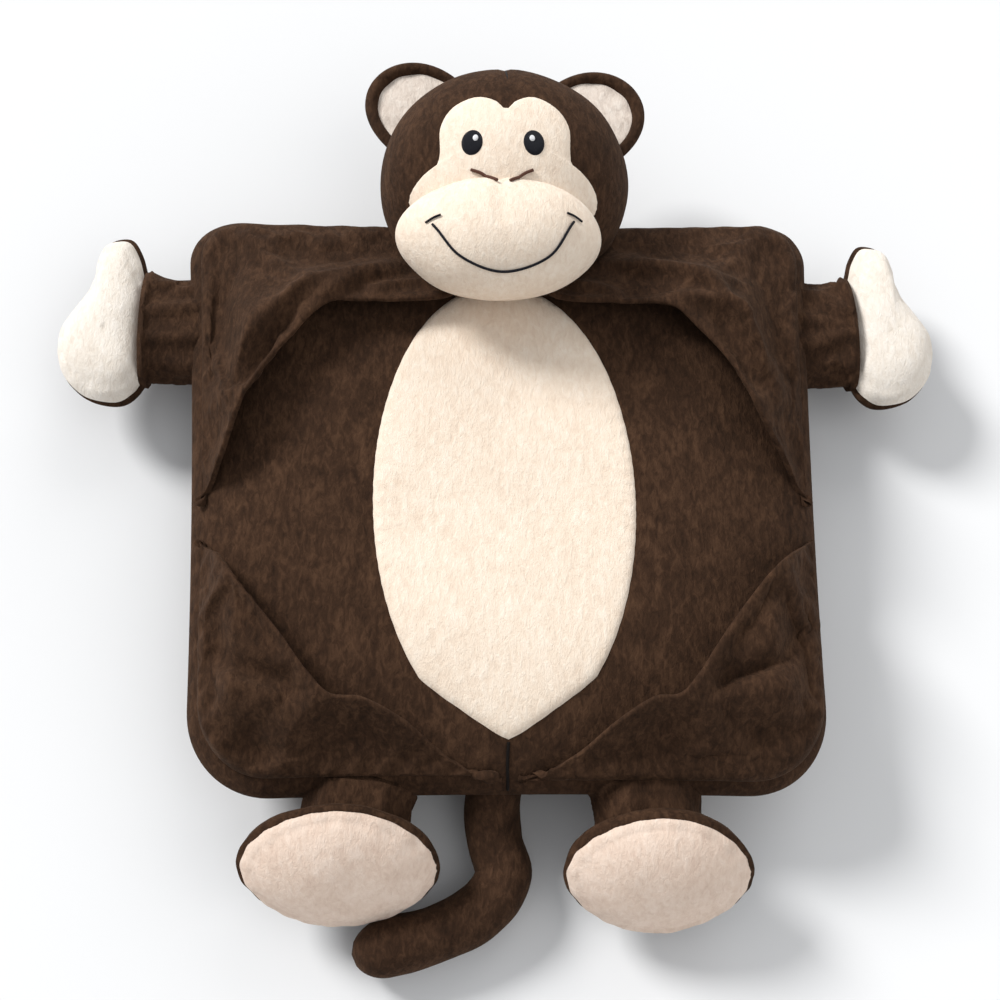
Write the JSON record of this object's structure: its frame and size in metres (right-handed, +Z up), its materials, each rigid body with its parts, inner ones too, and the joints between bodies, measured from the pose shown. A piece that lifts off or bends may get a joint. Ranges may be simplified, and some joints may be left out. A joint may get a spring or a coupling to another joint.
{
  "type": "plush tablet pillow",
  "caption": "Square plush monkey pillow lying on its back, with corner flaps that hold a tablet, a ball head, mitten arms, feet and a curled tail.",
  "frame": {"origin": "centre of the pillow's back face, on the surface it lies on", "axes": "+Z up out of the front, +Y towards the head, +X to the viewer's right"},
  "size_m": [0.4432, 0.4508, 0.121],
  "materials": {
    "plush_brown": "short dense dark brown plush",
    "plush_cream": "short cream plush",
    "plush_palm": "short pale cream plush",
    "plush_sole": "short pinkish cream plush",
    "ear_lining": "short grey cream plush",
    "thread_navy": "navy black satin stitch",
    "thread_white": "white satin stitch",
    "thread_brown": "brown satin stitch",
    "stuffing": "white polyester fibre fill"
  },
  "bodies": {
    "pillow": {"back_panel": "plush_brown", "front_left": "plush_brown", "front_right": "plush_brown", "belly_panel": "plush_cream", "pillow_insert": "stuffing", "flap_top_left": "plush_brown", "flap_top_right": "plush_brown", "flap_bottom_left": "plush_brown", "flap_bottom_right": "plush_brown"},
    "lip_tl": {"lip_top_left": "plush_brown"},
    "lip_tr": {"lip_top_right": "plush_brown"},
    "lip_bl": {"lip_bottom_left": "plush_brown"},
    "lip_br": {"lip_bottom_right": "plush_brown"},
    "head": {"head_cover": "plush_brown", "head_stuffing": "stuffing", "face_patch": "plush_cream", "muzzle_cover": "plush_cream", "muzzle_stuffing": "stuffing", "eye_left": "thread_navy", "eye_right": "thread_navy", "eye_light_left": "thread_white", "eye_light_right": "thread_white", "smile_stitch": "thread_navy", "cheek_tick_left": "thread_navy", "cheek_tick_right": "thread_navy", "nostril_left": "thread_brown", "nostril_right": "thread_brown"},
    "ear_l": {"ear_back_left": "plush_brown", "ear_inner_left": "ear_lining"},
    "ear_r": {"ear_back_right": "plush_brown", "ear_inner_right": "ear_lining"},
    "arm_l": {"sleeve_left": "plush_brown", "palm_left": "plush_palm", "hand_back_left": "plush_brown", "arm_stuffing_left": "stuffing", "hand_stuffing_left": "stuffing"},
    "arm_r": {"sleeve_right": "plush_brown", "palm_right": "plush_palm", "hand_back_right": "plush_brown", "arm_stuffing_right": "stuffing", "hand_stuffing_right": "stuffing"},
    "leg_l": {"foot_left": "plush_brown", "sole_left": "plush_sole", "foot_stuffing_left": "stuffing"},
    "leg_r": {"foot_right": "plush_brown", "sole_right": "plush_sole", "foot_stuffing_right": "stuffing"},
    "tail": {"tail_cover": "plush_brown", "tail_stuffing": "stuffing"}
  },
  "joints": [
    {"name": "lip_lift_tl", "type": "hinge", "parent": "pillow", "child": "lip_tl", "pos_m": [-0.11833, 0.07367, 0.0767], "axis": [-0.6364, -0.7714, 0], "range_deg": [0, 60]},
    {"name": "lip_lift_tr", "type": "hinge", "parent": "pillow", "child": "lip_tr", "pos_m": [0.11144, 0.07506, 0.0767], "axis": [-0.5924, 0.8056, 0], "range_deg": [0, 60]},
    {"name": "lip_lift_bl", "type": "hinge", "parent": "pillow", "child": "lip_bl", "pos_m": [-0.11808, -0.10157, 0.0767], "axis": [0.6293, -0.7772, 0], "range_deg": [0, 60]},
    {"name": "lip_lift_br", "type": "hinge", "parent": "pillow", "child": "lip_br", "pos_m": [0.11008, -0.10157, 0.0767], "axis": [0.6293, 0.7772, 0], "range_deg": [0, 60]},
    {"name": "neck_tilt", "type": "hinge", "parent": "pillow", "child": "head", "pos_m": [0.0005, 0.15, 0.016], "axis": [1, 0, 0], "range_deg": [-22, 0]},
    {"name": "ear_fold_l", "type": "hinge", "parent": "head", "child": "ear_l", "pos_m": [-0.04057, 0.20024, 0.0655], "axis": [0.7547, 0.6561, 0], "range_deg": [0, 55]},
    {"name": "ear_fold_r", "type": "hinge", "parent": "head", "child": "ear_r", "pos_m": [0.04553, 0.19649, 0.0655], "axis": [0.6947, -0.7193, 0], "range_deg": [0, 55]},
    {"name": "shoulder_l", "type": "hinge", "parent": "pillow", "child": "arm_l", "pos_m": [-0.1529, 0.089, 0.0445], "axis": [0, 1, 0], "range_deg": [0, 80]},
    {"name": "shoulder_r", "type": "hinge", "parent": "pillow", "child": "arm_r", "pos_m": [0.1529, 0.089, 0.0445], "axis": [0, -1, 0], "range_deg": [0, 80]},
    {"name": "hip_l", "type": "hinge", "parent": "pillow", "child": "leg_l", "pos_m": [-0.068, -0.1489, 0.044], "axis": [-1, 0, 0], "range_deg": [0, 45]},
    {"name": "hip_r", "type": "hinge", "parent": "pillow", "child": "leg_r", "pos_m": [0.061, -0.1489, 0.044], "axis": [-1, 0, 0], "range_deg": [0, 45]},
    {"name": "tail_swing", "type": "hinge", "parent": "pillow", "child": "tail", "pos_m": [-0.007, -0.163, 0.015], "axis": [0, 0, 1], "range_deg": [0, 30]}
  ]
}
